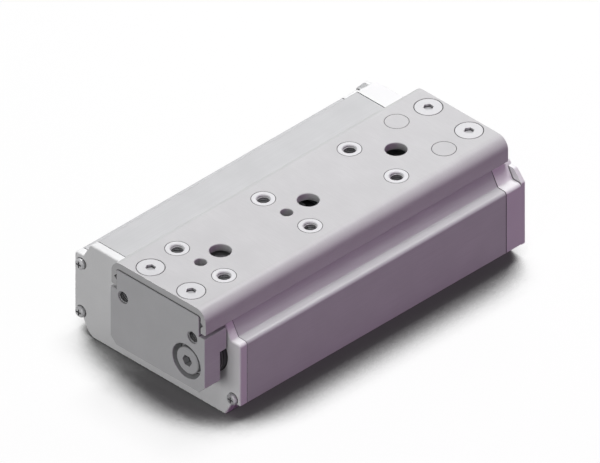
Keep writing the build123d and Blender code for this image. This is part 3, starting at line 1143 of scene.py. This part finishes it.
@dataclass
class Studio:
    """White floor, soft lamps and the camera of the picture.

    Args:
        picture_px: width of the picture, in pixels.
        px_per_mm: scale of the picture.
        azimuth: turn of the camera round the object, in degrees.
        elevation: height of the camera over the floor, in degrees.
        aim_right_mm: how far right of the origin the picture's middle lies.
        aim_up_mm: how far above the origin the picture's middle lies.
        distance: distance of the camera, in metres.
        clip: nearest and farthest distance that shows, in metres.
        lamp_aim: point that the lamps shine on, in metres.
        lamps: the lamps.
        floor_size: side of the floor, in metres.
        floor_back: tone of the floor for the light that it sends back to the object.
        floor_front: tone of the floor where it is looked at.
        floor_white: share of plain white in the floor where it is looked at.
        world_light: strength of the surroundings as a light.
        shadow_reach: distance over which the object darkens the floor, in metres.
        shadow_lean: direction from which the floor's light comes.
        shadow_from: open share of the surroundings where the shadow is darkest.
        shadow_to: open share of the surroundings where the shadow ends.
        shadow_dark: brightness of the darkest shadow.
        shadow_samples: rays that look for the object.
    """

    picture_px: int = 600
    px_per_mm: float = 3.25
    azimuth: float = 45.0
    elevation: float = 35.2644
    aim_right_mm: float = 3.557
    aim_up_mm: float = 20.975
    distance: float = 0.9
    clip: tuple[float, float] = (0.05, 20.0)
    lamp_aim: Triple = (0.0, 0.0, 0.02)
    lamps: tuple[Lamp, ...] = (
        # Main lamp, high over the back of the table.
        Lamp("key_above", (-0.08, 0.25, 0.92), (0.3, 0.3), 7.35),
        # Weak lamp near the camera, which shows the recesses and the walls of the holes.
        Lamp("hole_fill", (0.28, -0.6, 0.74), (0.2, 0.2), 0.5),
        # Low lamp for the end plate and the front cover.
        Lamp("front_fill", (-0.05, -1.0, 0.2), (0.8, 0.36), 3.2),
        # Violet lamp on the right, which tints the faces on its side.
        Lamp("side_fill", (0.95, 0.05, 0.3), (0.6, 0.4), 0.92, (1.0, 0.21, 1.0)),
        # Weak lamp for the faces at the back.
        Lamp("back_fill", (-0.6, 0.75, 0.5), (0.6, 0.4), 1.4),
    )
    floor_size: float = 8.0
    floor_back: str = "#5a5a5a"
    floor_front: str = "#fcfcfc"
    floor_white: float = 0.85
    world_light: float = 0.08
    shadow_reach: float = 0.027
    shadow_lean: Triple = (-0.2, 0.15, 0.95)
    shadow_from: float = 0.43
    shadow_to: float = 0.74
    shadow_dark: float = 0.03
    shadow_samples: int = 16

    def run(self) -> None:
        """Builds the whole studio."""
        self.floor()
        self.world()
        for lamp in self.lamps:
            self.light(lamp)
        self.camera()
        bpy.context.scene.view_settings.view_transform = "Standard"

    def floor(self) -> None:
        """Lays the floor, which looks white but sends back little light on the sides."""
        bpy.ops.mesh.primitive_plane_add(size=self.floor_size, location=(0, 0, 0))
        floor = bpy.context.active_object
        floor.name = "studio_floor"
        material = bpy.data.materials.new("white_studio_floor")
        material.use_nodes = True
        tree = material.node_tree
        tree.nodes.clear()
        seen = self.seen(tree)
        tone = add_node(
            tree,
            "ShaderNodeMix",
            # Inputs 6 and 7 and output 2 are the colours of this node.
            {"Factor": seen, 6: srgb(self.floor_back), 7: srgb(self.floor_front)},
            data_type="RGBA",
        )
        matt = add_node(tree, "ShaderNodeBsdfDiffuse", {"Color": tone.outputs[2]})
        white = add_node(
            tree,
            "ShaderNodeEmission",
            {"Color": WHITE, "Strength": self.contact_shadow(tree)},
        )
        share = add_node(
            tree, "ShaderNodeMath", {0: seen, 1: self.floor_white}, operation="MULTIPLY"
        )
        mix = add_node(
            tree,
            "ShaderNodeMixShader",
            {
                0: share.outputs["Value"],
                1: matt.outputs["BSDF"],
                2: white.outputs["Emission"],
            },
        )
        add_node(tree, "ShaderNodeOutputMaterial", {"Surface": mix.outputs["Shader"]})
        floor.data.materials.append(material)

    def contact_shadow(self, tree: bpy.types.NodeTree) -> Socket:
        """Darkens the floor close to the object, more on the sides away from the light.

        Args:
            tree: the floor's node tree.

        Returns:
            The socket with the floor's brightness, up to 1.
        """
        lean = add_node(tree, "ShaderNodeCombineXYZ", dict(zip("XYZ", self.shadow_lean)))
        near = add_node(
            tree,
            "ShaderNodeAmbientOcclusion",
            {"Distance": self.shadow_reach, "Normal": lean.outputs["Vector"]},
            samples=self.shadow_samples,
        )
        fade = add_node(
            tree,
            "ShaderNodeMapRange",
            {
                "Value": near.outputs["AO"],
                "From Min": self.shadow_from,
                "From Max": self.shadow_to,
                "To Min": self.shadow_dark,
            },
            interpolation_type="SMOOTHSTEP",
        )
        return fade.outputs["Result"]

    @staticmethod
    def seen(tree: bpy.types.NodeTree) -> Socket:
        """Gives 1 where a camera, glossy or transmission ray looks.

        Args:
            tree: node tree.

        Returns:
            The socket with 0 or 1.
        """
        rays = add_node(tree, "ShaderNodeLightPath").outputs
        looked = rays["Is Camera Ray"]
        for ray in ("Is Glossy Ray", "Is Transmission Ray"):
            either = add_node(
                tree, "ShaderNodeMath", {0: looked, 1: rays[ray]}, operation="MAXIMUM"
            )
            looked = either.outputs["Value"]
        return looked

    def world(self) -> None:
        """Makes the surroundings white to look at and dim as a light."""
        world = bpy.data.worlds.new("studio_world")
        bpy.context.scene.world = world
        world.use_nodes = True
        tree = world.node_tree
        tree.nodes.clear()
        dim, white = (
            add_node(tree, "ShaderNodeBackground", {"Color": WHITE, "Strength": strength})
            for strength in (self.world_light, 1.0)
        )
        mix = add_node(
            tree,
            "ShaderNodeMixShader",
            {
                0: self.seen(tree),
                1: dim.outputs["Background"],
                2: white.outputs["Background"],
            },
        )
        add_node(tree, "ShaderNodeOutputWorld", {"Surface": mix.outputs["Shader"]})

    def light(self, lamp: Lamp) -> None:
        """Adds one lamp, turned to the object.

        Args:
            lamp: the lamp.
        """
        data = bpy.data.lights.new(lamp.name, "AREA")
        data.shape = "RECTANGLE"
        data.size, data.size_y = lamp.size
        data.energy = lamp.watts
        data.color = lamp.colour
        holder = bpy.data.objects.new(lamp.name, data)
        holder.location = lamp.place
        aim = Vector(self.lamp_aim) - Vector(lamp.place)
        holder.rotation_euler = aim.to_track_quat("-Z", "Y").to_euler()
        bpy.context.scene.collection.objects.link(holder)

    def camera(self) -> None:
        """Places the parallel camera at the picture's true isometric angle."""
        turn, rise = math.radians(self.azimuth), math.radians(self.elevation)
        level = math.cos(rise)
        back = Vector((math.sin(turn) * level, -math.cos(turn) * level, math.sin(rise)))
        right = Vector((math.cos(turn), math.sin(turn), 0.0))
        up = back.cross(right)
        data = bpy.data.cameras.new("picture_camera")
        data.type = "ORTHO"
        data.ortho_scale = self.picture_px / self.px_per_mm * MM
        data.clip_start, data.clip_end = self.clip
        camera = bpy.data.objects.new("picture_camera", data)
        aim = right * self.aim_right_mm * MM + up * self.aim_up_mm * MM
        camera.location = aim + back * self.distance
        axes = Matrix((right, up, back)).transposed()
        camera.rotation_euler = axes.to_euler()
        bpy.context.scene.collection.objects.link(camera)
        bpy.context.scene.camera = camera


def main() -> None:
    """Dresses the object, reports its pieces and builds the studio."""
    logging.basicConfig(level=logging.INFO, format="%(name)s %(message)s")
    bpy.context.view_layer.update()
    maker = MaterialMaker()
    for part in (CadDress(maker), Fasteners(maker), Threads(maker)):
        for piece in part.run():
            log.info("%s: %d faces", piece.name, len(piece.data.polygons))
    Studio().run()


if __name__ == "__main__":
    main()
